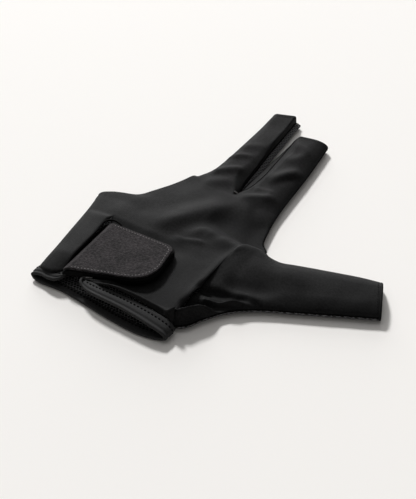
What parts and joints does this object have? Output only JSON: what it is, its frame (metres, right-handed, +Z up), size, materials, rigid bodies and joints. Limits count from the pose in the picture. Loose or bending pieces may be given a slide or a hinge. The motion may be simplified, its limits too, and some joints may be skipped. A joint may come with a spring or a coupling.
{
  "type": "billiard glove",
  "caption": "Flat-lying billiard glove with open index, middle and thumb sleeves, a mesh palm, a bound wrist with a slit and a hook-and-loop strap.",
  "frame": {"origin": "on the flat underside of the palm, below the middle of the hand, where the glove rests on a surface", "axes": "+Z up out of the back of the hand, +Y from the wrist to the fingertips, +X towards the thumb"},
  "size_m": [0.1639, 0.1815, 0.0122],
  "materials": {
    "stretch_cloth": "smooth stretch jersey with a soft sheen",
    "mesh_knit": "knitted honeycomb mesh, dull",
    "binding_cloth": "folded jersey strip, matte",
    "loop_cloth": "brushed loops, matte",
    "strap_webbing": "smooth backing, slightly glossy",
    "pad_cloth": "rough pile, matte"
  },
  "bodies": {
    "root": {"back_panel": "stretch_cloth", "palm_panel": "mesh_knit", "thumb_back": "stretch_cloth", "thumb_palm": "mesh_knit", "wrist_binding": "binding_cloth", "loop_patch": "loop_cloth", "strap_base": "strap_webbing", "strap_pad": "pad_cloth"}
  },
  "joints": []
}
